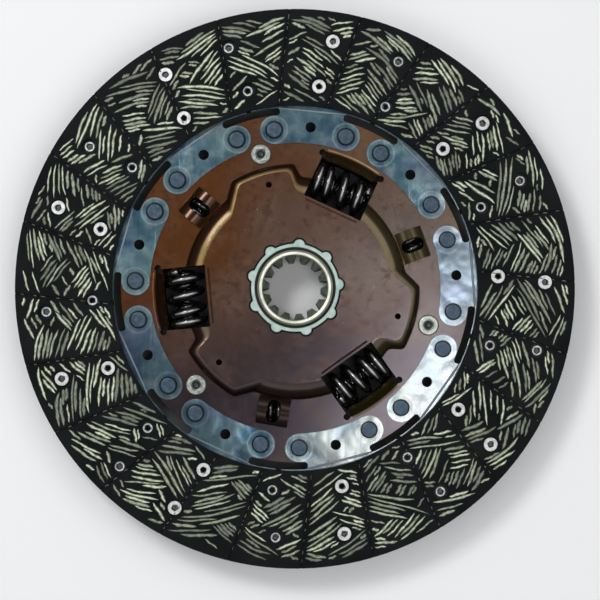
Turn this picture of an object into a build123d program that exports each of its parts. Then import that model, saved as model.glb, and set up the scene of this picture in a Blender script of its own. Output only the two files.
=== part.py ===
from build123d import *
import os
from math import asin, cos, degrees, radians, sin

# Clutch disc with a sprung hub. Millimetres and degrees.
# The origin is on the bore's axis, midway between the two friction faces.
# +Z points out of the side with the lobed plate; the hub's long end points down.

# ------------------------------------------------------------- driving dimensions
# friction facings
facing_od = 275.0
facing_id = 180.0
facing_thickness = 3.5
groove_count = 24
groove_width = 1.2
groove_depth = 1.0
groove_offset = 17.9          # how far each groove's centre line passes from the axis
first_groove_angle = -6.3
pad_corner_radius = 2.0       # rounding of the pads at the facing's bore

# waved cushion segments
segment_count = 9
segment_thickness = 0.9
wave_height = 0.8             # from the crests under one facing to those under the other
first_foot_angle = 4.5
paddle_lead = 8.9             # a paddle's centre lies this far round from its foot
segment_gap = 2.5             # between neighbouring paddles
foot_inset = 11.3             # the feet's centre line inside the facings' bore
foot_width = 14.0
foot_rivet_angle = 13.05      # either side of the foot's centre
foot_hole_radius = 2.55
foot_hole_shift = 1.0         # outward from the feet's centre line
neck_half_angle = 10.4
neck_fillet = 1.6
neck_slot = 3.7               # between a foot's outer edge and its paddle
foot_bend_shift = 8.4         # the straight bend across the neck, out from the feet's centre line
foot_drop = 0.6               # from the feet down to the paddles, at the bend
foot_slope = 1.2              # length of the bend's slope
paddle_rim_inset = 3.0        # the paddles end this far inside the facing's edge
slit_length = 14.6            # of the gaps between paddles, before they widen
wave_start = 1.6              # the waves begin this far out from a paddle's inner edge
crest_start = 0.5             # the crest's near edge, as a share of the outer rivets' offset
crest_end = 1.2               # and its far edge
crest_foot = 1.45             # and where the ramp beyond it ends

# facing rivets
outer_rivet_inset = 14.5      # from the facing's outer edge
inner_rivet_inset = 10.0      # from the facing's bore
outer_rivet_angle = 12.1      # either side of the paddle's centre
inner_rivet_angle = 10.15
rivet_head_radius = 3.5
rivet_head_height = 1.0
rivet_shank_radius = 2.0
rivet_bore_radius = 1.2
rivet_tail_radius = 2.5
rivet_tail_height = 0.8
rivet_seat = 1.2              # facing left under a rivet's head
head_pocket_radius = 3.9
tail_hole_radius = 3.6
hole_clearance = 0.1          # around every shank

# cushion rivets
cushion_rivet_head_radius = 4.2
cushion_rivet_head_height = 1.5
cushion_rivet_shank_radius = 2.9
cushion_rivet_chamfer = 0.6

# drive plate
plate_thickness = 2.0
plate_margin = 0.2            # outside the segments' feet
dome_height = 4.5
lobe_gap = 1.5                # between a lobe's foot and a stop pin's head
lobe_slope = 4.4              # the pressed wall's width at a lobe
lobe_before, lobe_after = 14.0, 16.4          # a lobe's reach either side of its pin, at the foot
lobe_top_before, lobe_top_after = 11.5, 14.0  # and at the top
waist_step = 6.6              # from the lobes' foot in to the waists' foot
waist_slope = 8.9             # the pressed wall's width at a waist
waist_before, waist_after = 17.5, 24.0        # where the waists begin, either side of a pin
waist_top_before, waist_top_after = 15.0, 28.0
lobe_foot_corner, lobe_top_corner = 3.0, 4.5
shoulder_start = 22.0         # part of the quarter turn that the pressed wall leaves out at its foot
shoulder_steps = 4
wall_inset = 1.3              # keeps the pressed wall near full thickness
lobe_hole_radius = 1.5
lobe_hole_inset = 9.3         # inside the lobes' foot

# stop pins
stop_count = 3
stop_angle = 104.4
stop_inset = 10.5             # inside the feet's centre line
stop_body_radius = 5.0
stop_neck_radius = 3.4
stop_head_radius = 5.1
stop_head_height = 1.4
stop_head_chamfer = 0.5
dimple_radius, dimple_floor_radius = 2.4, 0.8
dimple_depth = 0.9
twist_angle = 8.0             # the hub's travel either way
stop_clearance = 0.15

# main springs and their windows
window_count = 3
window_angle = 65.2
spring_inset = 24.7           # inside the feet's centre line
spring_od = 19.6
spring_wire = 3.8
spring_pitch = 7.4
inner_spring_od = 11.0
inner_spring_wire = 2.2
inner_spring_pitch = 5.2
window_length = 30.4
spring_end_gap = 0.2
window_inner_gap = 1.0        # between a spring and the windows' inner edge
window_outer_gap = 5.4        # the plates' windows end under a raised lip
relief_radius = 1.6
lip_bend_radius = 3.0
lip_bend_angle = 45.0
lip_reach = 4.0
inner_lip_height = 1.2

# small springs under pressed bridges
small_window_angle = 20.0
small_spring_inset = 6.6      # inside the stop pins' circle
first_stage_angle = 4.0       # the hub's travel before it reaches the small springs
small_spring_od = 12.5
small_spring_wire = 2.2
small_spring_pitch = 4.4
small_window_length = 15.8
bridge_half_span = 7.1
bridge_height = 3.0
bridge_thickness = 1.6
bridge_slot_length = 11.3
bridge_slot_width = 6.6

# hub
hub_radius = 18.6
hub_front = 6.0
hub_rear = -24.0
hub_chamfer = 1.0
hub_flange_thickness = 6.0
hub_flange_clearance = 2.5    # from the cushion rivets' tails
plate_gap = 1.05              # between the hub flange and each plate
hub_window_gap = 0.5
hub_window_corner = 0.8
spline_teeth = 14
spline_minor_radius = 12.9
spline_major_radius = 16.2
spline_space_inner = 3.7      # width of a tooth space at the minor radius
spline_space_outer = 1.7      # and at the major radius
first_tooth_angle = -5.3
spline_mouth = 0.3            # the lead-in at both ends, outside the spline
spline_lead = 2.2             # its depth
spline_cut_margin = 1.0       # the spaces' cuts reach this far into the bore

# bushes and friction pack
bush_running_gap = 0.08
bush_ring_wall = 3.1          # outside the hub
bush_mouth_gap = 1.3          # round the hub, at the bush's mouth
bush_mouth_depth = 1.5
bush_stand = 0.3              # above the dome
bush_lug_inset = 0.6          # from the ring's edge to the lugs' centres
bush_lug_radius = 2.8
bush_plate_gap = 0.8
bush_flange_inset = 1.0       # inside the washers' edge
bush_flange_thickness = 2.5
washer_bore_gap = 0.6         # round the hub
washer_width = 12.8
rear_washer_thickness = 1.5
pressure_washer_thickness = 1.2
cone_spring_thickness = 1.0
cone_spring_gap = 1.3         # round the rear bush
rear_bush_wall = 3.6
rear_bush_collar = 1.5
rear_bush_flange = 2.0
rear_bush_flange_thickness = 1.0

# rear plate
rear_plate_margin = 7.8       # outside the stop pins' circle
dish_clearance = 1.5          # round the washers
dish_depth = 3.45
dish_slope = 3.5

# ------------------------------------------------------------- levels worked out
paddle_top = segment_thickness / 2
foot_top = paddle_top + foot_drop
plate_top = foot_top - segment_thickness
plate_bottom = plate_top - plate_thickness
crest_top = (segment_thickness + wave_height) / 2
facing_top = crest_top + facing_thickness
dome_top = plate_top + dome_height
hub_flange_top = plate_bottom - plate_gap
hub_flange_bottom = hub_flange_top - hub_flange_thickness
damper_middle = (hub_flange_top + hub_flange_bottom) / 2
rear_plate_top = hub_flange_bottom - plate_gap
rear_plate_bottom = rear_plate_top - plate_thickness
dish_floor = rear_plate_top - dish_depth
outer_rivet_circle = facing_od / 2 - outer_rivet_inset
inner_rivet_circle = facing_id / 2 + inner_rivet_inset
rivet_rows = [(outer_rivet_circle, outer_rivet_angle), (inner_rivet_circle, inner_rivet_angle)]
foot_radius = facing_id / 2 - foot_inset
foot_hole_circle = foot_radius + foot_hole_shift
drive_plate_radius = foot_radius + foot_width / 2 + plate_margin
paddle_inner_radius = foot_radius + foot_width / 2 + neck_slot
stop_circle = foot_radius - stop_inset
lobe_foot_radius = stop_circle - stop_head_radius - lobe_gap
waist_foot_radius = lobe_foot_radius - waist_step
lobe_hole_circle = lobe_foot_radius - lobe_hole_inset
spring_circle = foot_radius - spring_inset
small_spring_circle = stop_circle - small_spring_inset
hub_flange_radius = foot_radius - cushion_rivet_head_radius - hub_flange_clearance
rear_plate_radius = stop_circle + rear_plate_margin
bush_ring_radius = hub_radius + bush_ring_wall
washer_inner_radius = hub_radius + washer_bore_gap
washer_outer_radius = washer_inner_radius + washer_width
rear_bush_collar_radius = hub_radius + rear_bush_wall
rear_bush_flange_radius = rear_bush_collar_radius + rear_bush_flange
dish_radius = washer_outer_radius + dish_clearance
segment_pitch = 360 / segment_count
paddle_angle = first_foot_angle + paddle_lead
third_turn = 360 / window_count
window_inner = spring_circle - spring_od / 2 - window_inner_gap
window_outer = spring_circle + spring_od / 2 + window_outer_gap
far = 2 * facing_od           # longer than the whole part, for cutting tools


# ------------------------------------------------------------- helpers
def polar(radius, angle):
    """The point at a radius and an angle in the disc's plane."""
    return (radius * cos(radians(angle)), radius * sin(radians(angle)))


def at(radius, angle, shape):
    """The shape, moved out along +X and turned about the axis."""
    return Rot(0, 0, angle) * Pos(radius, 0, 0) * shape


def around(shape, count, first=0.0):
    """Copies of a shape, evenly spaced about the axis."""
    return [Rot(0, 0, first + 360 * i / count) * shape for i in range(count)]


def slab(face, bottom, top):
    """The face, raised from one level to another."""
    return extrude(Pos(0, 0, bottom) * face, top - bottom)


def drum(radius, bottom, top):
    return slab(Circle(radius), bottom, top)


def ring(outer, inner, bottom, top):
    return slab(Circle(outer) - Circle(inner), bottom, top)


def sector(inner, outer, start, end):
    """A face between two radii and two angles."""
    outer_arc = CenterArc((0, 0), outer, start, end - start)
    inner_arc = CenterArc((0, 0), inner, start, end - start)
    sides = [Line(inner_arc @ 0, outer_arc @ 0), Line(inner_arc @ 1, outer_arc @ 1)]
    return make_face([outer_arc, inner_arc] + sides)


def grouped(shapes):
    """Like fasteners as one group of separate solids."""
    return Compound([solid for shape in shapes for solid in shape.solids()])


def turned(points):
    """A solid of revolution about the axis from (radius, height) points."""
    return revolve(make_face(Polyline([(r, 0, z) for r, z in points], close=True)), Axis.Z)


# ------------------------------------------------------------- friction facings
def make_front_facing():
    """A moulded ring with slightly slanted grooves, pockets for rivet heads and holes for tails."""
    inner, outer = facing_id / 2, facing_od / 2
    groove = Pos(far / 2, groove_offset) * Rectangle(far, groove_width)
    pads = Circle(outer) - Circle(inner) - around(groove, groove_count, first_groove_angle)
    corners = [v for v in pads.vertices() if v.center().length < inner + groove_width]
    pads = fillet(corners, pad_corner_radius)
    groove_floor = facing_top - groove_depth
    facing = ring(outer, inner, crest_top, groove_floor) + slab(pads, groove_floor, facing_top)
    seat = crest_top + rivet_seat
    shank_hole = drum(rivet_shank_radius + hole_clearance, crest_top, facing_top)
    pocket = drum(head_pocket_radius, seat, facing_top)
    tail_hole = drum(tail_hole_radius, crest_top, facing_top)
    cuts = []
    for circle, spread in rivet_rows:
        cuts += around(at(circle, -spread, shank_hole + pocket), segment_count, paddle_angle)
        cuts += around(at(circle, spread, tail_hole), segment_count, paddle_angle)
    return facing - cuts


def flipped(shape):
    """The shape turned over about the line through a paddle's centre: the rear half's parts."""
    return Rot(0, 0, paddle_angle) * Rot(180, 0, 0) * Rot(0, 0, -paddle_angle) * shape


def make_facing_rivets():
    """Tubular rivets: heads sunk in the front facing, tails clenched behind the cushion's crests."""
    seat = crest_top + rivet_seat
    tail_top = crest_top - segment_thickness
    rivet = (
        drum(rivet_head_radius, seat, seat + rivet_head_height)
        + drum(rivet_shank_radius, tail_top, seat)
        + drum(rivet_tail_radius, tail_top - rivet_tail_height, tail_top)
        - drum(rivet_bore_radius, tail_top - rivet_tail_height, seat + rivet_head_height)
    )
    rivets = []
    for circle, spread in rivet_rows:
        rivets += around(at(circle, -spread, rivet), segment_count, paddle_angle)
    return grouped(rivets)


# ------------------------------------------------------------- cushion segments
def make_segment():
    """One spring-steel segment, centred on +X: a riveted foot, a bent neck and a waved paddle."""
    foot = SlotArc(CenterArc((0, 0), foot_radius, -foot_rivet_angle, 2 * foot_rivet_angle), foot_width)
    neck = sector(foot_radius, paddle_inner_radius + wave_start, -neck_half_angle, neck_half_angle)
    rim = facing_od / 2 - paddle_rim_inset
    half = segment_pitch / 2 - degrees(asin(segment_gap / 2 / paddle_inner_radius))
    inner_arc = CenterArc((0, 0), paddle_inner_radius, -half, 2 * half)
    rim_arc = CenterArc((0, 0), rim, paddle_lead - half, 2 * half)
    slit_end = paddle_inner_radius + slit_length
    shoulders = [polar(slit_end, paddle_lead + side * half) for side in (-1, 1)]
    outline = [inner_arc, rim_arc]
    for i, shoulder in enumerate(shoulders):
        outline += [Line(inner_arc @ i, shoulder), Line(shoulder, rim_arc @ i)]
    sheet = make_face(outline) + foot + neck
    slot_start = foot_radius + foot_width / 2 - 0.5 * neck_fillet
    inner_corners = [
        v for v in sheet.vertices()
        if slot_start < v.center().length < paddle_inner_radius + 0.5 * neck_fillet
        and abs(abs(degrees(asin(v.Y / v.center().length))) - neck_half_angle) < 1
    ]
    sheet = fillet(inner_corners, min(neck_fillet, 0.45 * neck_slot))

    wave_radius = paddle_inner_radius + wave_start
    bend = foot_radius + foot_bend_shift
    top = [(0, foot_top), (bend, foot_top), (bend + foot_slope, paddle_top), (far, paddle_top)]
    under = [(x, z - segment_thickness) for x, z in reversed(top)]
    strip = extrude(make_face(Polyline([(x, 0, z) for x, z in top + under], close=True)), far, both=True)
    bent = slab(sheet & Circle(paddle_inner_radius), -far, far) & strip
    joint = sheet & (Circle(wave_radius + segment_thickness) - Circle(paddle_inner_radius))
    flat = bent + slab(joint, -paddle_top, paddle_top)
    crest = wave_height / 2
    offset = outer_rivet_circle * sin(radians(outer_rivet_angle))
    steps = [(-far, 0), (-crest_foot * offset, 0), (-crest_end * offset, crest), (-crest_start * offset, crest)]
    steps += [(-y, -z) for y, z in reversed(steps)]
    band = [(0, y, z + paddle_top) for y, z in steps] + [(0, y, z - paddle_top) for y, z in reversed(steps)]
    waves = extrude(make_face(Polyline(band, close=True)), far, dir=(1, 0, 0))
    segment = flat + (slab(sheet - Circle(wave_radius), -far, far) & (Rot(0, 0, paddle_lead) * waves))

    holes = [at(foot_hole_circle, 0, drum(foot_hole_radius, -far, far))]
    foot_hole = drum(cushion_rivet_shank_radius + hole_clearance, -far, far)
    facing_hole = drum(rivet_shank_radius + hole_clearance, -far, far)
    for side in (-1, 1):
        holes.append(at(foot_radius, side * foot_rivet_angle, foot_hole))
        holes += [at(circle, paddle_lead + side * spread, facing_hole) for circle, spread in rivet_rows]
    return segment - holes


def make_cushion_rivets():
    """Solid rivets through the segments' feet and the drive plate."""
    head, shank, chamfer = cushion_rivet_head_radius, cushion_rivet_shank_radius, cushion_rivet_chamfer
    top, tail = foot_top + cushion_rivet_head_height, plate_bottom - cushion_rivet_head_height
    rivet = turned([
        (0, top), (head - chamfer, top), (head, top - chamfer), (head, foot_top), (shank, foot_top),
        (shank, plate_bottom), (head, plate_bottom), (shank, tail), (0, tail),
    ])
    rivets = []
    for side in (-1, 1):
        rivets += around(at(foot_radius, side * foot_rivet_angle, rivet), segment_count, first_foot_angle)
    return grouped(rivets)


# ------------------------------------------------------------- what both plates share
def window_face():
    """A main window: straight inner edge and sides, an arc outside."""
    block = Pos(window_inner + window_outer / 2, 0) * Rectangle(window_outer, window_length)
    return block & Circle(window_outer)


def plate_cuts():
    """Tools for the main windows, their relief holes, the small windows and the pins' holes."""
    window = slab(window_face(), damper_middle - far, damper_middle + far)
    corner_angle = degrees(asin((window_length / 2 + relief_radius / 2) / window_outer))
    for side in (-1, 1):
        window += at(window_outer - relief_radius / 2, side * corner_angle, drum(relief_radius, -far, far))
    small = Pos(small_spring_circle, 0) * Rectangle(2 * bridge_half_span, small_window_length)
    pin = at(stop_circle, 0, drum(stop_neck_radius + hole_clearance, -far, far))
    return (
        around(window, window_count, window_angle)
        + around(slab(small, -far, far), window_count, small_window_angle)
        + around(pin, stop_count, stop_angle)
    )


def outer_lip():
    """The flap at a main window's outer edge, bent up over the spring."""
    root = window_outer + lip_bend_radius / 2
    middle = plate_top - plate_thickness / 2
    centre = (root, middle + lip_bend_radius + plate_thickness / 2)
    bend = lip_bend_radius + plate_thickness / 2

    def lip_edge(radius, reach):
        a = radians(lip_bend_angle)
        x, z = centre[0] - radius * sin(a), centre[1] - radius * cos(a)
        return (x, 0, z), (x - reach * cos(a), 0, z + reach * sin(a))

    def arc_middle(radius):
        a = radians(lip_bend_angle / 2)
        return (centre[0] - radius * sin(a), 0, centre[1] - radius * cos(a))

    under, over = bend + plate_thickness / 2, bend - plate_thickness / 2
    (under_end, under_tip), (over_end, over_tip) = lip_edge(under, lip_reach), lip_edge(over, lip_reach)
    outline = [
        Line((root, 0, plate_top), (root, 0, plate_bottom)),
        ThreePointArc((root, 0, plate_bottom), arc_middle(under), under_end),
        Line(under_end, under_tip),
        Line(under_tip, over_tip),
        Line(over_tip, over_end),
        ThreePointArc(over_end, arc_middle(over), (root, 0, plate_top)),
    ]
    spread = degrees(asin((window_length / 2 - relief_radius) / window_outer))
    return Rot(0, 0, -spread) * revolve(make_face(outline), Axis.Z, 2 * spread)


def inner_lip(level, height):
    """The turned-up edge along a main window's inner side, on a sheet whose top is at the level."""
    x, t = window_inner, plate_thickness
    under, over = level - t, level + height
    corners = [(x - t, under), (x, under + height), (x, over), (x - t / 2, over), (x - t, level)]
    face = make_face(Polyline([(px, 0, pz) for px, pz in corners], close=True))
    return extrude(face, window_length / 2 - relief_radius, both=True, dir=(0, 1, 0))


def spring_bridge():
    """The pressed half-round bridge over a small spring, with its slot."""
    rise = bridge_height
    outer = (bridge_half_span**2 + rise**2) / (2 * rise)
    centre = plate_top + rise - outer
    arch = Circle(outer) - Circle(outer - bridge_thickness)
    shell = extrude(Plane.XZ * arch, small_window_length / 2, both=True)
    shell = Pos(small_spring_circle, 0, centre) * shell
    above = Pos(small_spring_circle, 0, plate_bottom + far / 2) * Box(far, far, far)
    slot = Pos(small_spring_circle, 0) * SlotOverall(bridge_slot_length, bridge_slot_width)
    return (shell & above) - slab(slot, plate_bottom, plate_top + far)


def mirrored(shape):
    """The shape, mirrored to the other side of the damper's middle."""
    return mirror(shape, Plane.XY.offset(damper_middle))


# ------------------------------------------------------------- drive plate
def dome_outline(share, inset, level):
    """The dome's outline at a level: a lobe beside each stop pin, joined by waist arcs.

    The share runs from 0 at the foot of the pressed wall to 1 at the top.
    """
    def between(foot, top):
        return foot + (top - foot) * share

    lobe = lobe_foot_radius - between(0, lobe_slope) - inset
    waist = waist_foot_radius - between(0, waist_slope) - inset
    before, after = between(lobe_before, lobe_top_before), between(lobe_after, lobe_top_after)
    waist_end, waist_begin = between(waist_before, waist_top_before), between(waist_after, waist_top_after)
    edges = []
    for i in range(stop_count):
        a = stop_angle + third_turn * i
        crown = CenterArc((0, 0), lobe, a - before, before + after)
        hollow = CenterArc((0, 0), waist, a + waist_begin, third_turn - waist_begin - waist_end)
        edges += [crown, Line(crown @ 1, hollow @ 0), hollow]
        edges.append(Line(hollow @ 1, polar(lobe, a + third_turn - before)))
    face = make_face(edges)
    return Pos(0, 0, level) * fillet(face.vertices(), between(lobe_foot_corner, lobe_top_corner))


def dome(inset, drop):
    """The three-lobed dome as a solid: steep at its foot, and rounded over to its flat top."""
    start, sections = radians(shoulder_start), []
    for i in range(shoulder_steps + 1):
        turn = start + (radians(90) - start) * i / shoulder_steps
        rise = dome_height * (sin(turn) - sin(start)) / (1 - sin(start))
        sections.append(dome_outline(1 - cos(turn) / cos(start), inset, plate_top + rise - drop))
    return loft(sections)


def bush_outline(growth):
    """The lugged outline of the front bush, grown by a gap."""
    lug = Pos(bush_ring_radius - bush_lug_inset, 0) * Circle(bush_lug_radius + growth)
    return Circle(bush_ring_radius + growth) + around(lug, segment_count, first_foot_angle)


def make_drive_plate():
    plate = drum(drive_plate_radius, plate_bottom, plate_top) + dome(0, 0)
    plate -= dome(wall_inset, plate_thickness)
    plate -= plate_cuts()
    plate -= slab(bush_outline(bush_plate_gap), -far, far)
    plate -= around(at(lobe_hole_circle, 0, drum(lobe_hole_radius, -far, far)), stop_count, stop_angle)
    plate -= around(at(foot_hole_circle, 0, drum(foot_hole_radius, -far, far)), segment_count, first_foot_angle)
    foot_hole = drum(cushion_rivet_shank_radius + hole_clearance, -far, far)
    for side in (-1, 1):
        plate -= around(at(foot_radius, side * foot_rivet_angle, foot_hole), segment_count, first_foot_angle)
    plate += around(outer_lip(), window_count, window_angle)
    plate += around(inner_lip(dome_top, inner_lip_height), window_count, window_angle)
    plate += around(spring_bridge(), window_count, small_window_angle)
    return plate


def make_rear_plate():
    """The flat rear plate, dished round the hub for the friction pack."""
    bush_hole = rear_bush_collar_radius + hole_clearance
    slope_end = dish_radius + dish_slope
    plate = turned([
        (bush_hole, dish_floor),
        (dish_radius, dish_floor),
        (slope_end, rear_plate_top),
        (rear_plate_radius, rear_plate_top),
        (rear_plate_radius, rear_plate_bottom),
        (slope_end + wall_inset, rear_plate_bottom),
        (dish_radius + wall_inset, dish_floor - plate_thickness),
        (bush_hole, dish_floor - plate_thickness),
    ])
    plate -= plate_cuts()
    plate += around(mirrored(outer_lip()), window_count, window_angle)
    plate += around(mirrored(inner_lip(plate_top, inner_lip_height)), window_count, window_angle)
    plate += around(mirrored(spring_bridge()), window_count, small_window_angle)
    return plate


# ------------------------------------------------------------- stop pins
def make_stop_pin():
    """A shouldered pin riveted over both plates, its heads dimpled by the punch."""
    upper, chamfer = plate_top + stop_head_height, stop_head_chamfer
    head = [
        (0, upper - dimple_depth), (dimple_floor_radius, upper - dimple_depth), (dimple_radius, upper),
        (stop_head_radius - chamfer, upper), (stop_head_radius, upper - chamfer),
        (stop_head_radius, plate_top), (stop_neck_radius, plate_top),
        (stop_neck_radius, plate_bottom), (stop_body_radius, plate_bottom),
    ]
    tail = [(r, 2 * damper_middle - z) for r, z in reversed(head)]
    return at(stop_circle, 0, turned(head + tail))


# ------------------------------------------------------------- springs
def coil(od, wire, pitch, length):
    """A coil spring with ground ends, its axis along Y."""
    stock = length + 2 * pitch
    path = Helix(pitch, stock, (od - wire) / 2)
    section = Plane(path @ 0, z_dir=path % 0) * Circle(wire / 2)
    spring = Pos(0, 0, -stock / 2) * sweep(section, path, is_frenet=True)
    spring = spring & Box(2 * od, 2 * od, length)
    return Rot(90, 0, 0) * spring


def placed_springs(spring, circle, first):
    """The three springs of one kind, each across its window."""
    return around(Pos(circle, 0, damper_middle) * spring, window_count, first)


# ------------------------------------------------------------- hub
def make_hub():
    """Splined barrel and flange in one piece, with spring windows and notches for the stop pins."""
    barrel = turned([
        (0, hub_rear), (hub_radius - hub_chamfer, hub_rear), (hub_radius, hub_rear + hub_chamfer),
        (hub_radius, hub_front - hub_chamfer), (hub_radius - hub_chamfer, hub_front), (0, hub_front),
    ])
    hub = barrel + drum(hub_flange_radius, hub_flange_bottom, hub_flange_top)
    hub_window = Rectangle(spring_od + 2 * hub_window_gap, window_length)
    hub_window = fillet(hub_window.vertices(), hub_window_corner)
    free_travel = small_spring_circle * radians(first_stage_angle)
    small_window = Rectangle(small_spring_od + 2 * hub_window_gap, small_window_length + 2 * free_travel)
    small_window = fillet(small_window.vertices(), hub_window_corner)
    notch_half = twist_angle + degrees(asin((stop_body_radius + stop_clearance) / stop_circle))
    notch_floor = stop_circle - stop_body_radius - 4 * stop_clearance
    notch = sector(notch_floor, hub_flange_radius + 1, -notch_half, notch_half)
    low, high = hub_flange_bottom, hub_flange_top
    hub -= around(slab(Pos(spring_circle, 0) * hub_window, low, high), window_count, window_angle)
    hub -= around(slab(Pos(small_spring_circle, 0) * small_window, low, high), window_count, small_window_angle)
    hub -= around(slab(notch, low, high), stop_count, stop_angle)
    hub -= drum(spline_minor_radius, hub_rear, hub_front)
    cut_start = spline_minor_radius - spline_cut_margin
    space = make_face(Polyline(
        (cut_start, -spline_space_inner / 2), (spline_major_radius, -spline_space_outer / 2),
        (spline_major_radius, spline_space_outer / 2), (cut_start, spline_space_inner / 2),
        close=True,
    ))
    first_space = first_tooth_angle + 180 / spline_teeth
    hub -= around(slab(space, hub_rear, hub_front), spline_teeth, first_space)
    mouth = spline_major_radius + spline_mouth
    for end, inward in ((hub_front, -1), (hub_rear, 1)):
        depth = end + inward * spline_lead
        hub -= turned([(0, end), (mouth, end), (spline_minor_radius, depth), (0, depth)])
    return hub


# ------------------------------------------------------------- bushes and friction pack
def make_front_bush():
    """The lugged bush that centres the hub in the drive plate."""
    top, under = dome_top + bush_stand, dome_top - plate_thickness
    flange = washer_outer_radius - bush_flange_inset
    bush = slab(bush_outline(0), under, top) + drum(flange, under - bush_flange_thickness, under)
    bush -= drum(hub_radius + bush_running_gap, -far, far)
    return bush - drum(hub_radius + bush_mouth_gap, top - bush_mouth_depth, top)


def make_front_friction_ring():
    top = dome_top - plate_thickness - bush_flange_thickness
    return ring(washer_outer_radius, washer_inner_radius, hub_flange_top, top)


def make_rear_friction_ring():
    top = hub_flange_bottom
    return ring(washer_outer_radius, washer_inner_radius, top - rear_washer_thickness, top)


def make_pressure_washer():
    top = hub_flange_bottom - rear_washer_thickness
    return ring(washer_outer_radius, washer_inner_radius, top - pressure_washer_thickness, top)


def make_cone_spring():
    """A dished spring washer between the pressure washer and the rear plate."""
    top = hub_flange_bottom - rear_washer_thickness - pressure_washer_thickness
    inner, outer = rear_bush_flange_radius + cone_spring_gap, washer_outer_radius
    return turned([
        (inner, top), (outer, dish_floor + cone_spring_thickness),
        (outer, dish_floor), (inner, top - cone_spring_thickness),
    ])


def make_rear_bush():
    """The flanged bush that centres the hub in the rear plate."""
    under = dish_floor - plate_thickness - rear_bush_collar
    flange_top = dish_floor + rear_bush_flange_thickness
    bush = drum(rear_bush_collar_radius, under, dish_floor) + drum(rear_bush_flange_radius, dish_floor, flange_top)
    return bush - drum(hub_radius + bush_running_gap, -far, far)


# ------------------------------------------------------------- the assembly
parts = {
    "front_facing": make_front_facing(),
    "rear_facing": flipped(make_front_facing()),
    "facing_rivets_front": make_facing_rivets(),
    "facing_rivets_rear": flipped(make_facing_rivets()),
    "cushion_rivets": make_cushion_rivets(),
    "drive_plate": make_drive_plate(),
    "rear_plate": make_rear_plate(),
    "hub": make_hub(),
    "front_bush": make_front_bush(),
    "front_friction_ring": make_front_friction_ring(),
    "rear_friction_ring": make_rear_friction_ring(),
    "pressure_washer": make_pressure_washer(),
    "cone_spring": make_cone_spring(),
    "rear_bush": make_rear_bush(),
}
for i, segment in enumerate(around(make_segment(), segment_count, first_foot_angle), 1):
    parts[f"cushion_segment_{i}"] = segment
for i, pin in enumerate(around(make_stop_pin(), stop_count, stop_angle), 1):
    parts[f"stop_pin_{i}"] = pin

spring_length = window_length - 2 * spring_end_gap
small_spring_length = small_window_length - 2 * spring_end_gap
outer_coil = coil(spring_od, spring_wire, spring_pitch, spring_length)
inner_coil = coil(inner_spring_od, inner_spring_wire, inner_spring_pitch, spring_length)
small_coil = coil(small_spring_od, small_spring_wire, small_spring_pitch, small_spring_length)
for i, spring in enumerate(placed_springs(outer_coil, spring_circle, window_angle), 1):
    parts[f"main_spring_outer_{i}"] = spring
for i, spring in enumerate(placed_springs(inner_coil, spring_circle, window_angle), 1):
    parts[f"main_spring_inner_{i}"] = spring
for i, spring in enumerate(placed_springs(small_coil, small_spring_circle, small_window_angle), 1):
    parts[f"small_spring_{i}"] = spring

os.makedirs("parts", exist_ok=True)
for name, shape in parts.items():
    export_step(shape, f"parts/{name}.step")
    print(name, len(shape.solids()), round(shape.volume, 1))
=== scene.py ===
import math
import random

import bmesh
import bpy
from mathutils import Matrix, Vector


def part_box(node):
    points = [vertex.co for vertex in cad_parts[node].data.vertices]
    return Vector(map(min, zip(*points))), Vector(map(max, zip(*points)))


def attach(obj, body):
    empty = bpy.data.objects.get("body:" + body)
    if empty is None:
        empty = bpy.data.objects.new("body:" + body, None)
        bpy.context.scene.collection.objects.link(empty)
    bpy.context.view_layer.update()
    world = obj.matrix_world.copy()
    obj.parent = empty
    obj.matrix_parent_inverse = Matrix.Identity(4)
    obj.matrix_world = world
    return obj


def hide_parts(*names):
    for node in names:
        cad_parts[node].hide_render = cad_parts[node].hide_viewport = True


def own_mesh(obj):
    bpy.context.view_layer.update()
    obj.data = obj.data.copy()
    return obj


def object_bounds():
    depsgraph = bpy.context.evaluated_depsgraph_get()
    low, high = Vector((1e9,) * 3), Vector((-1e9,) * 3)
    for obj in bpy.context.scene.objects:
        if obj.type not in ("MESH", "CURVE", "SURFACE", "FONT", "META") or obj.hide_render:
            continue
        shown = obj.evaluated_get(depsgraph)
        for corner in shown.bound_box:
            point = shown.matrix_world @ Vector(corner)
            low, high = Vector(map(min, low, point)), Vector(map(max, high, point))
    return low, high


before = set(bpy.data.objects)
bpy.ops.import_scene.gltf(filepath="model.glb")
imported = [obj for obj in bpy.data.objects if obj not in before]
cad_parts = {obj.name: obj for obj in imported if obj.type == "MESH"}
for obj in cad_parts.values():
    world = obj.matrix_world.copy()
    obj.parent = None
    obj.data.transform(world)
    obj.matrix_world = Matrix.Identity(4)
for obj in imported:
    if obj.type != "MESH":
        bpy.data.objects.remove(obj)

cad_box = [list(corner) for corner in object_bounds()]

# Friction facings: two moulded rings of dark resin and yarn, the same part turned over for the rear.
# Their faces are ground flat, cut by slanted grooves, and pierced for rivet heads and rivet tails.


class Socket:
    """A node's output in a sum: arithmetic on it adds Math nodes to its material."""

    def __init__(self, tree, socket):
        self.tree, self.socket = tree, socket

    def math(self, operation, *others):
        node = self.tree.nodes.new("ShaderNodeMath")
        node.operation = operation
        for slot, value in zip(node.inputs, (self,) + others):
            plug(self.tree, slot, value)
        return Socket(self.tree, node.outputs[0])

    def __add__(self, other):
        return self.math("ADD", other)

    def __sub__(self, other):
        return self.math("SUBTRACT", other)

    def __rsub__(self, other):
        return self * -1 + other

    def __mul__(self, other):
        return self.math("MULTIPLY", other)

    __radd__, __rmul__ = __add__, __mul__

    def within(self, low, high):
        """0 at low and 1 at high, clamped."""
        scaled = (self - low) * (1 / (high - low))
        return scaled.math("MAXIMUM", 0).math("MINIMUM", 1)


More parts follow.
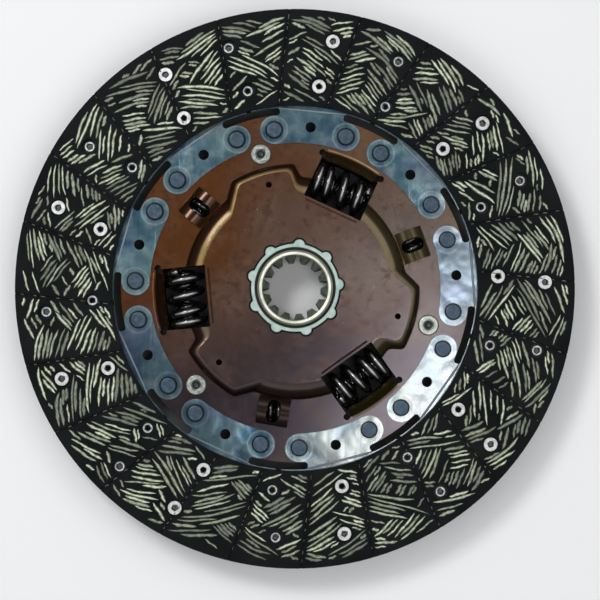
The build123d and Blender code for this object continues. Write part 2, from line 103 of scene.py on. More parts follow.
def plug(tree, slot, value):
    """Gives a node's input a wrapped socket, a colour, a vector or a number."""
    if isinstance(value, Socket):
        tree.links.new(value.socket, slot)
    elif slot.type == "RGBA":
        slot.default_value = (*value, 1)
    else:
        slot.default_value = value


class Finish:
    """One material: node() adds any other node, and lay() links what varies into its surface."""

    def __init__(self, name, **plain):
        self.material = bpy.data.materials.new(name)
        self.material.use_nodes = True
        self.tree = self.material.node_tree
        self.surface = self.tree.nodes["Principled BSDF"]
        self.lay({key.replace("_", " "): value for key, value in plain.items()})
        self.place = self.node("TexCoord", output="Object")

    def node(self, kind, settings=(), inputs=(), output=0):
        node = self.tree.nodes.new("ShaderNode" + kind)
        for key, value in dict(settings).items():
            setattr(node, key, value)
        for key, value in dict(inputs).items():
            plug(self.tree, node.inputs[key], value)
        return Socket(self.tree, node.outputs[output])

    def noise(self, scale, detail=4, roughness=0.5, place=None):
        """Noise with a scale in cells per metre."""
        values = {"Vector": place or self.place, "Scale": scale, "Detail": detail, "Roughness": roughness}
        return self.node("TexNoise", (), values)

    def attribute(self, name):
        """A number that each point of the mesh keeps."""
        return self.node("Attribute", {"attribute_name": name}, (), "Fac")

    def axes(self):
        """Object X, Y and Z, and the distance from the disc's axis."""
        parts = [self.node("SeparateXYZ", (), {"Vector": self.place}, axis) for axis in "XYZ"]
        return (*parts, (parts[0] * parts[0] + parts[1] * parts[1]).math("SQRT"))

    def mix(self, factor, first, second):
        """The first colour where the factor is 0, and the second where it is 1."""
        return self.node("Mix", {"data_type": "RGBA"}, {"Factor": factor, 6: first, 7: second}, 2)

    def stretched(self, scale, turn=(0, 0, 0)):
        """Object coordinates, scaled unevenly and turned."""
        return self.node("Mapping", (), {"Vector": self.place, "Scale": scale, "Rotation": turn})

    def bump(self, height, distance, strength=1.0, normal=None):
        values = {"Height": height, "Distance": distance, "Strength": strength}
        if normal:
            values["Normal"] = normal
        return self.node("Bump", (), values)

    def lay(self, values):
        for key, value in values.items():
            plug(self.tree, self.surface.inputs[key], value)


def piece(name, mesh_data, finish, body="disc", node=None):
    """Puts a bmesh into the scene as a named piece on its body, in place of its CAD node."""
    mesh = bpy.data.meshes.new(name)
    mesh_data.to_mesh(mesh)
    mesh_data.free()
    mesh.materials.append(finish.material)
    made = bpy.data.objects.new(name, mesh)
    bpy.context.scene.collection.objects.link(made)
    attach(made, body)
    if node:
        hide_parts(node)
    return made


def mark_turned_radius(shape):
    """Keeps each point's distance from the axis of its own loose part, for lathe marks."""
    turned_radius = shape.verts.layers.float.new("turned_radius")
    left = set(shape.verts)
    while left:
        island, fresh = set(), [left.pop()]
        while fresh:
            vert = fresh.pop()
            island.add(vert)
            near = {edge.other_vert(vert) for edge in vert.link_edges} & left
            left -= near
            fresh += near
        low = [min(vert.co[i] for vert in island) for i in (0, 1)]
        high = [max(vert.co[i] for vert in island) for i in (0, 1)]
        centre = Vector(((low[0] + high[0]) / 2, (low[1] + high[1]) / 2))
        for vert in island:
            vert[turned_radius] = (vert.co.xy - centre).length


def finished(node, finish, edge, body="disc"):
    """A node's mesh welded, with its edges broken, as the real part's are."""
    weld, flat, sharp = 2e-6, math.radians(1), math.radians(24)
    shape = bmesh.new()
    shape.from_mesh(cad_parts[node].data)
    bmesh.ops.remove_doubles(shape, verts=shape.verts, dist=weld)
    mark_turned_radius(shape)
    bmesh.ops.dissolve_limit(shape, angle_limit=flat, verts=shape.verts, edges=shape.edges)
    for face in shape.faces:
        face.smooth = True
    for seam in shape.edges:
        seam.smooth = seam.is_manifold and seam.calc_face_angle(0) < sharp
    made = piece(node + "_finished", shape, finish, body, node)
    broken = made.modifiers.new("broken edges", "BEVEL")
    broken.width = edge
    broken.segments = 2
    broken.limit_method = "ANGLE"
    broken.angle_limit = sharp
    broken.use_clamp_overlap = True
    flatness = made.modifiers.new("flat faces stay flat", "WEIGHTED_NORMAL")
    flatness.keep_sharp = True
    flatness.weight = 100


friction = Finish("friction_material", Specular_IOR_Level=0.07)
grain = friction.noise(1100, 6, 0.65)
patches = friction.noise(45, 3)
specks = friction.noise(2400, 2).within(0.66, 0.74)
resin = friction.mix(patches.within(0.35, 0.7), (0.0030, 0.0042, 0.0052), (0.0080, 0.0095, 0.0098))
resin = friction.mix(grain.within(0.55, 0.8) * 0.5, resin, (0.016, 0.019, 0.013))
friction.lay({
    "Base Color": friction.mix(specks * 0.3, resin, (0.06, 0.065, 0.055)),
    "Roughness": grain * 0.25 + 0.55,
    "Normal": friction.bump(grain + specks * 0.5, 0.00010, 0.6),
})
for facing in ("front_facing", "rear_facing"):
    finished(facing, friction, edge=0.00025)

# Yarn in the facings: the glass and cotton strands that grinding lays bare, in bundles that cross
# like basket work. Each is pale olive and mottled, and tapers where it dives under the resin.

# The ring, its grooves and its rivet holes: two rows of holes, each a pair to a paddle.
facing_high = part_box("front_facing")[1]
facing_radius, front_level = facing_high.x, facing_high.z
rear_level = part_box("rear_facing")[0].z
bore_radius = 0.090
groove_count, groove_depth = 24, 0.0010
groove_offset, first_groove = 0.0179, math.radians(-6.3)
paddle_count = 9
paddle_turn, paddle_lead = math.radians(360 / paddle_count), math.radians(13.4)
rivet_rows = ((0.123, math.radians(12.1)), (0.100, math.radians(10.15)))

# How far the yarn keeps from each cut, and how it runs, is spaced and is shaped.
pocket_gap, tail_gap, groove_gap = 0.0047, 0.0045, 0.0014
bore_gap, rim_gap = 0.0016, 0.0034
yarn_middle, yarn_sweep, yarn_slope = 0.1125, 0.0235, 0.072
strand_step, strand_spacing, shortest_strand = 0.0007, 0.0012, 0.0036
strand_half_widths = (0.00050, 0.00095)
strand_height, strand_proud, strand_pieces = 0.00008, 0.00001, 10
bundle_rows, bundle_columns, bundle_reach = 5, 46, (0.009, 0.024)
bundle_counts, bundle_spacings = (4, 5, 6, 7, 8), (0.0015, 0.0024)
bundle_inset, bundle_margins = 0.003, 0.007
filler_tries, filler_reach = 2200, 0.012
dash_lengths, dash_gaps = (0.0008, 0.0030), (0.0010, 0.0060)
dash_half_widths, dash_height, dash_pieces = (0.00018, 0.00034), 0.00015, 3
dash_bore_inset, dash_rim_inset = 0.002, 0.001

hole_centres = []
for row, spread in rivet_rows:
    for k in range(paddle_count):
        for side, gap in ((-1, pocket_gap), (1, tail_gap)):
            turn = paddle_lead + paddle_turn * k + side * spread
            hole_centres.append((row * math.cos(turn), row * math.sin(turn), gap))


def clear_of_cuts(x, y):
    """True where a strand can lie: away from the grooves, the holes and the ring's edges."""
    radius = math.hypot(x, y)
    if not bore_radius + bore_gap < radius < facing_radius - rim_gap:
        return False
    pitch = 2 * math.pi / groove_count
    lean = math.asin(groove_offset / radius)
    turn = (math.atan2(y, x) - first_groove - lean + pitch / 2) % pitch - pitch / 2
    if abs(turn) * radius < groove_gap:
        return False
    return all(math.hypot(x - cx, y - cy) > gap for cx, cy, gap in hole_centres)


def strand_direction(x, y, family):
    """The unit direction of one of the two crossing families of yarn at a point."""
    radius, angle = math.hypot(x, y), math.atan2(y, x)
    most = 0.97
    sweep = max(-most, min(most, (radius - yarn_middle) / yarn_sweep))
    outward, round_ring = yarn_slope * math.sqrt(1 - sweep * sweep), family * radius
    length = math.hypot(outward, round_ring)
    outward, round_ring = outward / length, round_ring / length
    return (outward * math.cos(angle) - round_ring * math.sin(angle),
            outward * math.sin(angle) + round_ring * math.cos(angle))


cell = 0.0005
reach_cells = int(strand_spacing / cell) + 1
span = range(-reach_cells, reach_cells + 1)
near_cells = [(i, j) for i in span for j in span if math.hypot(i, j) * cell < strand_spacing]


def cell_of(x, y):
    """The square of a fine grid that a point is in: a strand takes up the squares near it."""
    return round(x / cell), round(y / cell)


def trace(x, y, family, reach, bend, taken):
    """Follows a family from a point, until a cut, another strand or the reach stops it."""
    points, sign, gone = [], math.copysign(1, reach), 0.0
    while gone < abs(reach):
        dx, dy = strand_direction(x, y, family)
        drift = bend * gone
        dx, dy = dx - dy * drift, dy + dx * drift
        x, y = x + sign * dx * strand_step, y + sign * dy * strand_step
        gone += strand_step
        if not clear_of_cuts(x, y) or cell_of(x, y) in taken:
            break
        points.append((x, y))
    return points


def yarn_layout(seed):
    """The centre lines, half-widths and shades of one facing's strands."""
    chance = random.Random(seed)
    taken, strands = set(), []

    def lay_out(x, y, family, longest, shade):
        if not clear_of_cuts(x, y) or cell_of(x, y) in taken:
            return
        bend = chance.uniform(-22, 22)
        back = trace(x, y, family, -chance.uniform(0.4, 1) * longest, bend, taken)
        ahead = trace(x, y, family, chance.uniform(0.4, 1) * longest, bend, taken)
        line = back[::-1] + [(x, y)] + ahead
        if len(line) * strand_step < shortest_strand:
            return
        for px, py in line:
            ci, cj = cell_of(px, py)
            taken.update((ci + i, cj + j) for i, j in near_cells)
        strands.append((line, chance.uniform(*strand_half_widths), shade))

    bundles = [(i, j) for i in range(bundle_rows) for j in range(bundle_columns)]
    chance.shuffle(bundles)
    for i, j in bundles:
        share = (i + chance.uniform(0.15, 0.85)) / bundle_rows
        radius = bore_radius + bundle_inset + (facing_radius - bore_radius - bundle_margins) * share
        angle = 2 * math.pi * (j + (i % 2) * 0.5 + chance.uniform(-0.3, 0.3)) / bundle_columns
        family = 1 if (i + j) % 2 else -1
        cx, cy = radius * math.cos(angle), radius * math.sin(angle)
        dx, dy = strand_direction(cx, cy, family)
        count, spacing = chance.choice(bundle_counts), chance.uniform(*bundle_spacings)
        shade, longest = chance.random(), chance.uniform(*bundle_reach)
        for k in range(count):
            shift = (k - (count - 1) / 2) * spacing + chance.uniform(-0.0004, 0.0004)
            slide = chance.uniform(-0.003, 0.003)
            x, y = cx - dy * shift + dx * slide, cy + dx * shift + dy * slide
            lay_out(x, y, family, longest, min(1, max(0, shade + chance.uniform(-0.3, 0.3))))
    for filler in range(filler_tries):
        radius, angle = chance.uniform(bore_radius, facing_radius), chance.uniform(0, 2 * math.pi)
        x, y = radius * math.cos(angle), radius * math.sin(angle)
        lay_out(x, y, chance.choice((-1, 1)), filler_reach, chance.uniform(0, 0.8))
    return strands


def lay_strand(shape, layers, line, half_width, shade, level, height, pieces):
    """Adds one strand: a thin crowned ribbon that tapers to both ends, with ragged sides."""
    grid = bmesh.ops.create_grid(shape, x_segments=pieces, y_segments=2, size=1)
    shade_layer, across_layer, along_layer = layers
    for vert in grid["verts"]:
        along, across = (vert.co.x + 1) / 2, vert.co.y
        spot = along * (len(line) - 1)
        i = min(int(spot), len(line) - 2)
        start, end = Vector(line[i]), Vector(line[i + 1])
        side = Vector((start.y - end.y, end.x - start.x)).normalized()
        taper = min(1, 0.10 + 2.2 * min(along, 1 - along) ** 0.6)
        ragged = 1 + 0.16 * math.sin(along * 21 + shade * 60) + 0.10 * math.sin(along * 47 + shade * 90)
        wander = 0.00016 * math.sin(along * 9 + shade * 40)
        flat = start.lerp(end, spot - i) + side * (across * half_width * taper * ragged + wander)
        vert.co = (flat.x, flat.y, level + height * (1 - across * across) * taper)
        vert[shade_layer], vert[across_layer] = shade, across
        vert[along_layer] = spot * strand_step * 1000


def facing_strands(layout, level, seed):
    """A facing's strands, and the pale cut ends along the floors of its grooves."""
    shape = bmesh.new()
    layers = [shape.verts.layers.float.new(name) for name in ("shade", "across", "along")]
    for line, half_width, shade in layout:
        lay_strand(shape, layers, line, half_width, shade,
                   level + strand_proud, strand_height, strand_pieces)
    chance = random.Random(seed)
    for k in range(groove_count):
        turn = Matrix.Rotation(first_groove + 2 * math.pi * k / groove_count, 2)
        spot = math.sqrt(bore_radius ** 2 - groove_offset ** 2) + dash_bore_inset
        end = math.sqrt(facing_radius ** 2 - groove_offset ** 2) - dash_rim_inset
        while spot < end:
            length = min(chance.uniform(*dash_lengths), end - spot)
            line = [turn @ Vector((spot + length * t / dash_pieces, groove_offset))
                    for t in range(dash_pieces + 1)]
            half_width, shade = chance.uniform(*dash_half_widths), chance.uniform(0, 0.15)
            lay_strand(shape, layers, line, half_width, shade,
                       level - groove_depth, dash_height, dash_pieces)
            spot += length + chance.uniform(*dash_gaps)
    return shape


yarn = Finish("facing_yarn", Specular_IOR_Level=0.3)
shade, across, along = [yarn.attribute(name) for name in ("shade", "across", "along")]
thread_place = yarn.node("CombineXYZ", (), {"X": along * 0.42, "Y": across * 2.6, "Z": shade * 40})
threads = yarn.noise(1.6, 5, 0.65, thread_place)
mottle = yarn.noise(420, 4, 0.65)
off_core = across.math("ABSOLUTE") + threads * 1.2 - 0.6
pale = shade.within(0.05, 0.75)
core = yarn.mix(pale, (0.24, 0.26, 0.23), (0.68, 0.73, 0.60))
flank = yarn.mix(pale, (0.09, 0.10, 0.085), (0.19, 0.215, 0.115))
strand = yarn.mix(off_core.within(0.24, 0.55), core, flank)
off_parting = (across + threads * 1.6 - 0.8).math("ABSOLUTE")
parting = off_parting.within(0.20, 0.06) * shade.within(0.75, 0.55)
strand = yarn.mix(parting * 0.75, strand, (0.060, 0.065, 0.030))
strand = yarn.mix(mottle.within(0.47, 0.64) * 0.65, strand, (0.085, 0.095, 0.030))
strand = yarn.mix(off_core.within(0.60, 0.88), strand, (0.030, 0.036, 0.012))
yarn.lay({
    "Base Color": yarn.mix(off_core.within(0.90, 1.10), strand, (0.006, 0.008, 0.007)),
    "Roughness": mottle * 0.2 + 0.55,
    "Normal": yarn.bump(threads + mottle * 0.4, 0.00006, 0.5),
})
strand_layout = yarn_layout(11)
piece("front_facing_yarn", facing_strands(strand_layout, front_level, 3), yarn)
rear_strands = facing_strands(strand_layout, -rear_level, 5)
turn_over = (Matrix.Rotation(paddle_lead, 4, "Z") @ Matrix.Rotation(math.pi, 4, "X")
             @ Matrix.Rotation(-paddle_lead, 4, "Z"))
bmesh.ops.transform(rear_strands, matrix=turn_over, verts=rear_strands.verts)
piece("rear_facing_yarn", rear_strands, yarn)

# Facing rivets: bright tubular rivets, their heads sunk in one facing and their tails rolled over
# on the cushion behind the other's clearance holes.

bright = Finish("bright_rivet", Metallic=0.75)
scuff = bright.noise(500, 4, 0.6)
reach = bright.attribute("turned_radius") + scuff * 0.0002
alloy = bright.mix(scuff.within(0.4, 0.7), (0.58, 0.59, 0.58), (0.36, 0.37, 0.36))
# Painted shade: each head darker on its inner lip and near black in its bore.
alloy = bright.mix(reach.within(0.0022, 0.0020), alloy, (0.075, 0.08, 0.08))
bright.lay({
    "Base Color": bright.mix(reach.within(0.0014, 0.0012), alloy, (0.02, 0.022, 0.025)),
    "Roughness": scuff * 0.2 + 0.38,
    "Normal": bright.bump(scuff, 0.00006, 0.4),
})
for group in ("facing_rivets_front", "facing_rivets_rear"):
    finished(group, bright, edge=0.00018)

# Cushion segments: nine waved sheets of tempered spring steel, blued unevenly by the heat.
# Each is riveted to the drive plate by its foot and carries the facings on its paddle.

foot_rivet_circle = 0.0787
foot_rivet_lead, foot_rivet_spread = math.radians(4.5), math.radians(13.05)

tempered = Finish("tempered_steel")
steel_x, steel_y, steel_z, steel_reach = tempered.axes()
clouds = tempered.noise(30, 3, 0.55)
stain = tempered.noise(120, 5, 0.65)
straw = tempered.noise(26, 3, 0.5, tempered.stretched((1, 1, 1), (0, 0, 1.0)))
scratches = tempered.noise(700, 4, 0.7, tempered.stretched((1, 0.08, 1), (0, 0, 0.6)))
pits = tempered.noise(1800, 2, 0.5).within(0.66, 0.72)
around_axis = steel_y.math("ARCTAN2", steel_x)
rivet_turn = (around_axis - foot_rivet_lead).math("PINGPONG", paddle_turn / 2) - foot_rivet_spread
rivet_across, rivet_out = rivet_turn * foot_rivet_circle, steel_reach - foot_rivet_circle
from_rivet = (rivet_across * rivet_across + rivet_out * rivet_out).math("SQRT")
# A painted highlight along each foot's outer edge.
foot_edge_highlight = from_rivet.within(0.0058, 0.0063) * from_rivet.within(0.0071, 0.0067)
steel = tempered.mix(clouds.within(0.38, 0.62), (0.055, 0.125, 0.185), (0.15, 0.26, 0.295))
steel = tempered.mix(stain.within(0.46, 0.68) * 0.55, steel, (0.25, 0.32, 0.32))
steel = tempered.mix(straw.within(0.58, 0.72) * 0.6, steel, (0.26, 0.21, 0.15))
steel = tempered.mix(straw.within(0.44, 0.34) * 0.5, steel, (0.13, 0.14, 0.30))
steel = tempered.mix(scratches.within(0.60, 0.72) * 0.35, steel, (0.55, 0.62, 0.66))
steel = tempered.mix(pits * 0.6, steel, (0.03, 0.04, 0.05))
steel = tempered.mix(foot_edge_highlight * 0.35, steel, (0.42, 0.50, 0.52))
# Painted shadow in a ring round each rivet head.
painted_head_shadow = from_rivet.within(0.0050, 0.0043)
steel = tempered.mix(painted_head_shadow * 0.8, steel, (0.02, 0.03, 0.035))
# Painted reflection: the segments paler and greyer towards the lower right.
painted_lower_right_reflection = (steel_x * 8 + steel_y * -11 + clouds * 1.2 - 1.1).within(0.15, 0.55)
steel = tempered.mix(painted_lower_right_reflection * 0.6, steel, (0.34, 0.33, 0.31))
# Painted light: the segments paler towards the right.
painted_light_right_side = (steel_x + stain * 0.02).within(0.068, 0.088)
steel = tempered.mix(painted_light_right_side * 0.5, steel, (0.33, 0.37, 0.43))
# Painted shade: the segments darker towards the lower left.
painted_shade_lower_left = (steel_x + steel_y).within(-0.080, -0.108)
steel = tempered.mix(painted_shade_lower_left * 0.45, steel, (0.020, 0.035, 0.050))
# A painted highlight: the slope where the sheet steps down near the facings' bore is lighter and less
# metallic.
slope_height = steel_z.within(0.00048, 0.0006) * steel_z.within(0.00104, 0.0009)
painted_slope_light = slope_height * steel_reach.within(0.0865, 0.0869) * steel_reach.within(0.0925, 0.0910)
steel = tempered.mix(painted_slope_light * 0.8, steel, (0.34, 0.42, 0.47))
# Painted shade: the sheet near black where it runs under the facings.
painted_shade_under_facings = (steel_reach + stain * 0.001).within(0.0900, 0.0912)
tempered.lay({
    "Base Color": tempered.mix(painted_shade_under_facings * 0.93, steel, (0.010, 0.012, 0.014)),
    "Metallic": painted_slope_light * -0.5 + 0.9,
    "Roughness": stain * 0.14 + scratches * 0.08 + painted_shade_under_facings * 0.3 + painted_slope_light * 0.3 + 0.12,
    "Normal": tempered.bump(scratches + stain * 0.4, 0.00003, 0.5, tempered.bump(clouds, 0.0012, 1.0)),
})
for k in range(paddle_count):
    finished(f"cushion_segment_{k + 1}", tempered, edge=0.00028)

# Cushion rivets: solid rivets of dark steel with broad flat heads, two of them through each
# segment's foot and the drive plate.

dark_rivet = Finish("dark_rivet", Metallic=0.8)
worn = dark_rivet.noise(420, 4, 0.6)
rim = dark_rivet.attribute("turned_radius") + worn * 0.0004
blued = dark_rivet.mix(worn.within(0.45, 0.75), (0.036, 0.056, 0.080), (0.085, 0.115, 0.155))
dark_rivet.lay({
    # The outer edge of each head painted dark, as shade in the gap round it.
    "Base Color": dark_rivet.mix(rim.within(0.0038, 0.0041), blued, (0.02, 0.03, 0.04)),
    "Roughness": worn * 0.25 + 0.25,
    "Normal": dark_rivet.bump(worn, 0.0001, 0.4),
})
finished("cushion_rivets", dark_rivet, edge=0.0003)

# Drive plate, rear plate and pressure washer: pressed sheet steel with raised lips over the
# springs. The drive plate is case-hardened to an oily brown that shifts towards orange and violet,
# and what lies behind it is painted near black, as shade.

brown = Finish("hardened_plate", Metallic=0.75, Coat_Roughness=0.1)
plate_x, plate_y, plate_z = brown.axes()[:3]
drift = brown.noise(14, 2, 0.5)
cloud = brown.noise(70, 5, 0.62)
blots = brown.noise(260, 4, 0.65)
specks = brown.noise(1000, 2, 0.5).within(0.76, 0.80)
heat = (plate_x * -7 + plate_y * 4 + drift * 1.6 - 0.35).within(0.1, 0.9)
violet = (plate_x * 2 + plate_y * -12 + drift * 1.2 - 0.3).within(0.1, 0.9)
tint = brown.mix(heat, (0.160, 0.122, 0.107), (0.145, 0.048, 0.009))
tint = brown.mix(violet * 0.95, tint, (0.026, 0.020, 0.031))
tint = brown.mix(cloud.within(0.50, 0.72) * 0.25, tint, (0.15, 0.095, 0.07))
stains = (blots + cloud * 0.6).within(0.82, 1.0)
tint = brown.mix(stains * 0.6, tint, (0.045, 0.018, 0.010))
tint = brown.mix(specks * 0.5, tint, (0.42, 0.38, 0.34))
golden = (plate_x * 9 + plate_y * 13 + drift * 1.0 - 1.25).within(0.1, 0.6)
tint = brown.mix(golden * 0.45, tint, (0.26, 0.155, 0.075))
# Painted shade on the pressed walls, and olive on the right as a painted reflection.
wall = plate_z.within(0.0004, 0.0010) * plate_z.within(0.0043, 0.0038)
shoulder = plate_z.within(0.0039, 0.0043) * plate_z.within(0.00464, 0.00458)
right_side = (plate_x + drift * 0.01).within(0.010, 0.040)
painted_wall_shade_and_reflection = brown.mix(right_side, (0.020, 0.009, 0.004), (0.046, 0.036, 0.005))
tint = brown.mix(wall * 0.85, tint, painted_wall_shade_and_reflection)
# A painted highlight: a thin light line along the foot of the walls on the right.
painted_foot_highlight = plate_z.within(0.00019, 0.00028) * plate_z.within(0.00075, 0.00045)
tint = brown.mix(painted_foot_highlight * right_side * 0.55, tint, (0.42, 0.29, 0.14))
# A painted golden highlight on the shoulder, painted dark as shade on the lower side.
lower_side = (plate_y + drift * 0.01).within(-0.005, -0.035)
tint = brown.mix(shoulder * (0.7 - lower_side * 0.7), tint, (0.125, 0.095, 0.024))
tint = brown.mix(shoulder * lower_side * 0.8, tint, (0.026, 0.013, 0.008))
# Painted shade: what lies behind the drive plate near black.
painted_shade_behind = plate_z.within(-0.0025, -0.0045)
brown.lay({
    "Base Color": brown.mix(painted_shade_behind * 0.92, tint, (0.008, 0.005, 0.004)),
    "Coat Weight": wall * -0.2 + 0.3,
    "Roughness": cloud * 0.20 + specks * 0.2 + shoulder * 0.2 + 0.10,
    "Normal": brown.bump(cloud + blots * 0.25, 0.00008, 0.3),
})
for sheet in ("drive_plate", "rear_plate", "pressure_washer"):
    finished(sheet, brown, edge=0.0003)

# Stop pins: three bright turned steel pins, riveted over both plates, which keep the plates apart
# and stop the hub's flange. Each head has a punched centre.

turned = Finish("turned_steel", Metallic=0.9)
lathe = turned.noise(600, 3)
ring_reach = turned.attribute("turned_radius")
ridges = (ring_reach * 9000).math("SINE") * 0.5 + 0.5
pin_steel = turned.mix(lathe.within(0.35, 0.65), (0.24, 0.26, 0.24), (0.40, 0.43, 0.39))
# The head darker within 3 mm of its centre, and its punched centre painted near black, as shade.
pin_steel = turned.mix(ring_reach.within(0.0033, 0.0030), pin_steel, (0.13, 0.15, 0.14))
turned.lay({
    "Base Color": turned.mix(ring_reach.within(0.0019, 0.0015), pin_steel, (0.05, 0.055, 0.05)),
    "Roughness": lathe * 0.2 + 0.2,
    "Normal": turned.bump(ridges, 0.00003, 0.5),
})
for k in range(3):
    finished(f"stop_pin_{k + 1}", turned, edge=0.00015)

# Hub: a forged steel barrel and flange, machined on its ends and broached with splines. It turns
# a few degrees in the disc, on its own body.

machined = Finish("machined_steel", Metallic=0.9)
off_axis = machined.axes()[3]
forged = off_axis.within(0.0188, 0.0196)
lead_in = off_axis.within(0.0163, 0.0159)
oil = machined.noise(110, 4, 0.6)
scale_marks = machined.noise(420, 4, 0.65)
turning = (off_axis * 14000).math("SINE") * 0.5 + 0.5
bright_steel = machined.mix(oil.within(0.4, 0.65), (0.50, 0.50, 0.40), (0.74, 0.73, 0.62))
# The flange, beyond 19 mm from the axis, near black.
near_black_flange_steel = machined.mix(scale_marks.within(0.4, 0.7), (0.006, 0.005, 0.005), (0.018, 0.014, 0.012))
# Painted shade: the splined bore darker than the machined end faces.
painted_bore_shade_steel = machined.mix(scale_marks.within(0.4, 0.7), (0.075, 0.095, 0.075), (0.16, 0.18, 0.14))
barrel = machined.mix(lead_in, bright_steel, painted_bore_shade_steel)
machined.lay({
    "Base Color": machined.mix(forged, barrel, near_black_flange_steel),
    "Roughness": oil * 0.15 + forged * 0.2 + lead_in * 0.15 + 0.28,
    "Normal": machined.bump(scale_marks * forged + turning * 0.3, 0.0001, 0.4),
})
finished("hub", machined, edge=0.0002, body="hub")

# Bushes: pale sintered rings that centre the hub, the front one keyed by nine lugs. Their walls
# below the outer faces are painted near black, as shade.

sintered = Finish("bush_material", Metallic=0.3)
bush_z = sintered.axes()[2]
bush_mottle = sintered.noise(260, 4, 0.6)
bush_grain = sintered.noise(1500, 3, 0.6)
sinter = sintered.mix(bush_mottle.within(0.35, 0.65), (0.29, 0.41, 0.36), (0.43, 0.52, 0.48))
sinter = sintered.mix(bush_grain.within(0.60, 0.75) * 0.4, sinter, (0.62, 0.68, 0.64))
front_top, rear_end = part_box("front_bush")[1].z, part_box("rear_bush")[0].z
# Painted shade: the walls below the outer faces near black.
below_front = bush_z.within(front_top - 0.0004, front_top - 0.0008)
painted_shade_below_faces = below_front * bush_z.within(rear_end + 0.0004, rear_end + 0.0008)
sintered.lay({
    "Base Color": sintered.mix(painted_shade_below_faces, sinter, (0.008, 0.010, 0.010)),
    "Roughness": bush_grain * 0.2 + painted_shade_below_faces * 0.2 + 0.35,
    "Normal": sintered.bump(bush_grain, 0.00004, 0.4),
})
for bush in ("front_bush", "rear_bush"):
    finished(bush, sintered, edge=0.0003)

# Friction rings and cone spring: two rings of the facings' material and a dished steel washer,
# stacked round the hub between the plates, which rub as it turns.

for ring in ("front_friction_ring", "rear_friction_ring"):
    finished(ring, friction, edge=0.0002)
finished("cone_spring", tempered, edge=0.0001)

# Springs: black lacquered coils with closed and ground ends, a large and a thin one in each
# main window and a short one under each bridge. A highlight is painted along the coils' outer crests.

lacquer = Finish("black_lacquer", Coat_Weight=0.6, Coat_Roughness=0.04)
wear = lacquer.noise(300, 4, 0.6)
chips = lacquer.noise(900, 3, 0.6).within(0.66, 0.74)
coil_z = lacquer.axes()[2]
crest = lacquer.attribute("crest")
# A painted highlight: a light, part metallic line along the coils' outer crests, on their upper side.
painted_crest_highlight = (crest + wear * 0.5).within(0.82, 1.08) * coil_z.within(0.0015, 0.0060)
coat = lacquer.mix(wear.within(0.4, 0.7), (0.0025, 0.0025, 0.0025), (0.008, 0.0078, 0.007))
coat = lacquer.mix(chips * 0.4, coat, (0.07, 0.06, 0.045))
lacquer.lay({
    "Base Color": lacquer.mix(painted_crest_highlight, coat, (0.80, 0.80, 0.75)),
    "Metallic": painted_crest_highlight * 0.3,
    "Roughness": wear * 0.06 + painted_crest_highlight * 0.2 + 0.04,
    "Normal": lacquer.bump(wear, 0.00006, 0.3),
})


def edges_of(geometry):
    """The edges in a bmesh operator's result."""
    return [item for item in geometry if isinstance(item, bmesh.types.BMEdge)]


def wound(name, node, outer, wire, length, turns, closed, circle, angle):
    """A coil spring along the tangent at a window, its ends wound close and ground flat."""
    wire_sides, steps_per_turn, crest_share = 16, 28, 0.06
    shape = bmesh.new()
    bmesh.ops.create_circle(shape, segments=wire_sides, radius=wire / 2, cap_ends=False)
    stand = Matrix.Translation(((outer - wire) / 2, 0, 0)) @ Matrix.Rotation(math.pi / 2, 4, "X")
    bmesh.ops.transform(shape, matrix=stand, verts=shape.verts)
    rise = (length - wire * (1 + 2 * closed)) / turns
    tip = shape.edges[:]
    for part_turns, climb in ((closed, wire), (turns, rise), (closed, wire)):
        steps = max(4, round(steps_per_turn * part_turns))
        swept = bmesh.ops.spin(
            shape, geom=tip, cent=(0, 0, 0), axis=(0, 0, 1), dvec=(0, 0, climb * part_turns / steps),
            angle=2 * math.pi * part_turns, steps=steps, use_duplicate=False)
        tip = edges_of(swept["geom_last"])
    lowest = min(vert.co.z for vert in shape.verts)
    highest = max(vert.co.z for vert in shape.verts)
    bmesh.ops.translate(shape, vec=(0, 0, -(lowest + highest) / 2), verts=shape.verts)
    for side in (-1, 1):
        cut = bmesh.ops.bisect_plane(
            shape, geom=shape.verts[:] + shape.edges[:] + shape.faces[:],
            plane_co=(0, 0, side * length / 2), plane_no=(0, 0, side), clear_outer=True)
        bmesh.ops.edgeloop_fill(shape, edges=edges_of(cut["geom_cut"]))
    bmesh.ops.holes_fill(shape, edges=[edge for edge in shape.edges if edge.is_boundary], sides=0)
    bmesh.ops.recalc_face_normals(shape, faces=shape.faces)
    crest_layer = shape.verts.layers.float.new("crest")
    for vert in shape.verts:
        depth = outer / 2 - math.hypot(vert.co.x, vert.co.y)
        vert[crest_layer] = max(0, 1 - depth / (wire * crest_share))
    for face in shape.faces:
        face.smooth = len(face.verts) == 4
    low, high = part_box(node)
    level = (low.z + high.z) / 2
    place = (Matrix.Rotation(angle, 4, "Z") @ Matrix.Translation((circle, 0, level))
             @ Matrix.Rotation(math.pi / 2, 4, "X"))
    bmesh.ops.transform(shape, matrix=place, verts=shape.verts)
    made = piece(name, shape, lacquer, node=node)
    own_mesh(made)


main_coil = {"outer": 0.0196, "wire": 0.0040, "length": 0.030, "turns": 2.2, "closed": 1.0}
inner_coil = {"outer": 0.0110, "wire": 0.0022, "length": 0.030, "turns": 4.6, "closed": 0.8}
bridge_coil = {"outer": 0.0125, "wire": 0.0024, "length": 0.0152, "turns": 2.2, "closed": 0.8}
main_circle, bridge_circle = 0.054, 0.0616
first_main, first_bridge = 65.2, 20

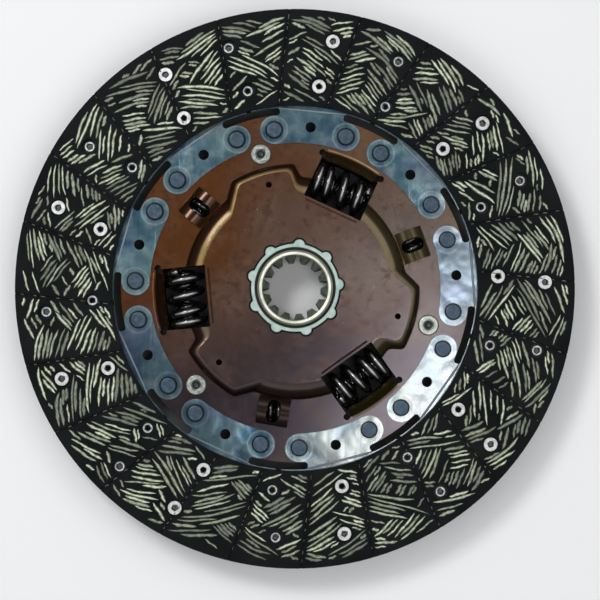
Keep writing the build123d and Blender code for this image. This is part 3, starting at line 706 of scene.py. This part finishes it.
for k in range(3):
    main_angle = math.radians(first_main + 120 * k)
    bridge_angle = math.radians(first_bridge + 120 * k)
    for name, node, coil, circle, angle in (
            ("main_spring", "main_spring_outer", main_coil, main_circle, main_angle),
            ("inner_spring", "main_spring_inner", inner_coil, main_circle, main_angle),
            ("bridge_spring", "small_spring", bridge_coil, bridge_circle, bridge_angle)):
        wound(f"{name}_{k + 1}", f"{node}_{k + 1}", circle=circle, angle=angle, **coil)

# Table, lamps and camera: a pale table just under the hub's end, dark beneath the disc for the
# shade in its slots, soft light from the upper left and a camera almost straight above the disc.

table_level = cad_box[0][2] - 0.0002
table_half = 1.5
paper = Finish("pale_table", Roughness=0.9)
paper_reach = paper.axes()[3]
under_disc = paper_reach.within(0.026, 0.034) * paper_reach.within(0.130, 0.112)
paper.lay({"Base Color": paper.mix(under_disc * 0.85, (0.87, 0.87, 0.87), (0.008, 0.008, 0.008))})
top = bmesh.new()
bmesh.ops.create_grid(top, x_segments=1, y_segments=1, size=table_half)
bmesh.ops.translate(top, vec=(0, 0, table_level), verts=top.verts)
top_mesh = bpy.data.meshes.new("table")
top.to_mesh(top_mesh)
top.free()
top_mesh.materials.append(paper.material)
table = bpy.data.objects.new("table", top_mesh)
bpy.context.scene.collection.objects.link(table)


def lamp(name, place, target, size, power, colour=(1, 1, 1)):
    """A square soft lamp, turned towards its target."""
    light = bpy.data.lights.new(name, "AREA")
    light.shape = "SQUARE"
    light.size = size
    light.energy = power
    light.color = colour
    holder = bpy.data.objects.new(name, light)
    holder.location = place
    holder.rotation_euler = (Vector(target) - Vector(place)).to_track_quat("-Z", "Y").to_euler()
    bpy.context.scene.collection.objects.link(holder)


lamp("window_light", (-0.46, 0.46, 1.15), (0, 0, 0), 0.30, 5.6)
lamp("low_right_light", (0.17, -0.11, 1.15), (0.08, -0.05, 0), 0.20, 1.0, (1, 0.98, 0.95))

# The sky's brightness by height, from the horizon at 0 to straight overhead at 1.
sky_tones = ((0.0, 0.14), (0.55, 0.16), (0.74, 0.50), (0.81, 1.70), (0.92, 1.70), (0.97, 0.22))
studio = bpy.data.worlds.new("studio")
bpy.context.scene.world = studio
studio.use_nodes = True
sky = studio.node_tree
gaze = sky.nodes.new("ShaderNodeTexCoord")
parted = sky.nodes.new("ShaderNodeSeparateXYZ")
fade = sky.nodes.new("ShaderNodeValToRGB")
fade.color_ramp.elements.remove(fade.color_ramp.elements[0])
for spot, tone in sky_tones:
    stop = fade.color_ramp.elements.new(spot)
    stop.color = (0.98 * tone, tone, 1.02 * tone, 1)
fade.color_ramp.elements.remove(fade.color_ramp.elements[-1])
sky.links.new(gaze.outputs["Generated"], parted.inputs[0])
sky.links.new(parted.outputs["Z"], fade.inputs["Fac"])
sky.links.new(fade.outputs["Color"], sky.nodes["Background"].inputs["Color"])

bpy.context.scene.view_settings.view_transform = "Standard"

sensor = 36
frame_width = 0.2946
eye_height = 1.0
eye_distance = eye_height - front_level
lean = Vector((-0.008, -0.028, 1)).normalized()
camera_data = bpy.data.cameras.new("camera")
camera_data.sensor_width = sensor
camera_data.lens = sensor * eye_distance / frame_width
camera_data.clip_start = 0.01
camera_data.shift_x = 0.008
camera_data.shift_y = -0.0205
camera = bpy.data.objects.new("camera", camera_data)
bpy.context.scene.collection.objects.link(camera)
bpy.context.scene.camera = camera
across_frame = Vector((0, 1, 0)).cross(lean).normalized()
up_frame = lean.cross(across_frame)
stance = Matrix((across_frame, up_frame, lean)).transposed().to_4x4()
eye = Vector((0, 0, front_level)) + lean * eye_distance
camera.matrix_world = Matrix.Translation(eye) @ stance
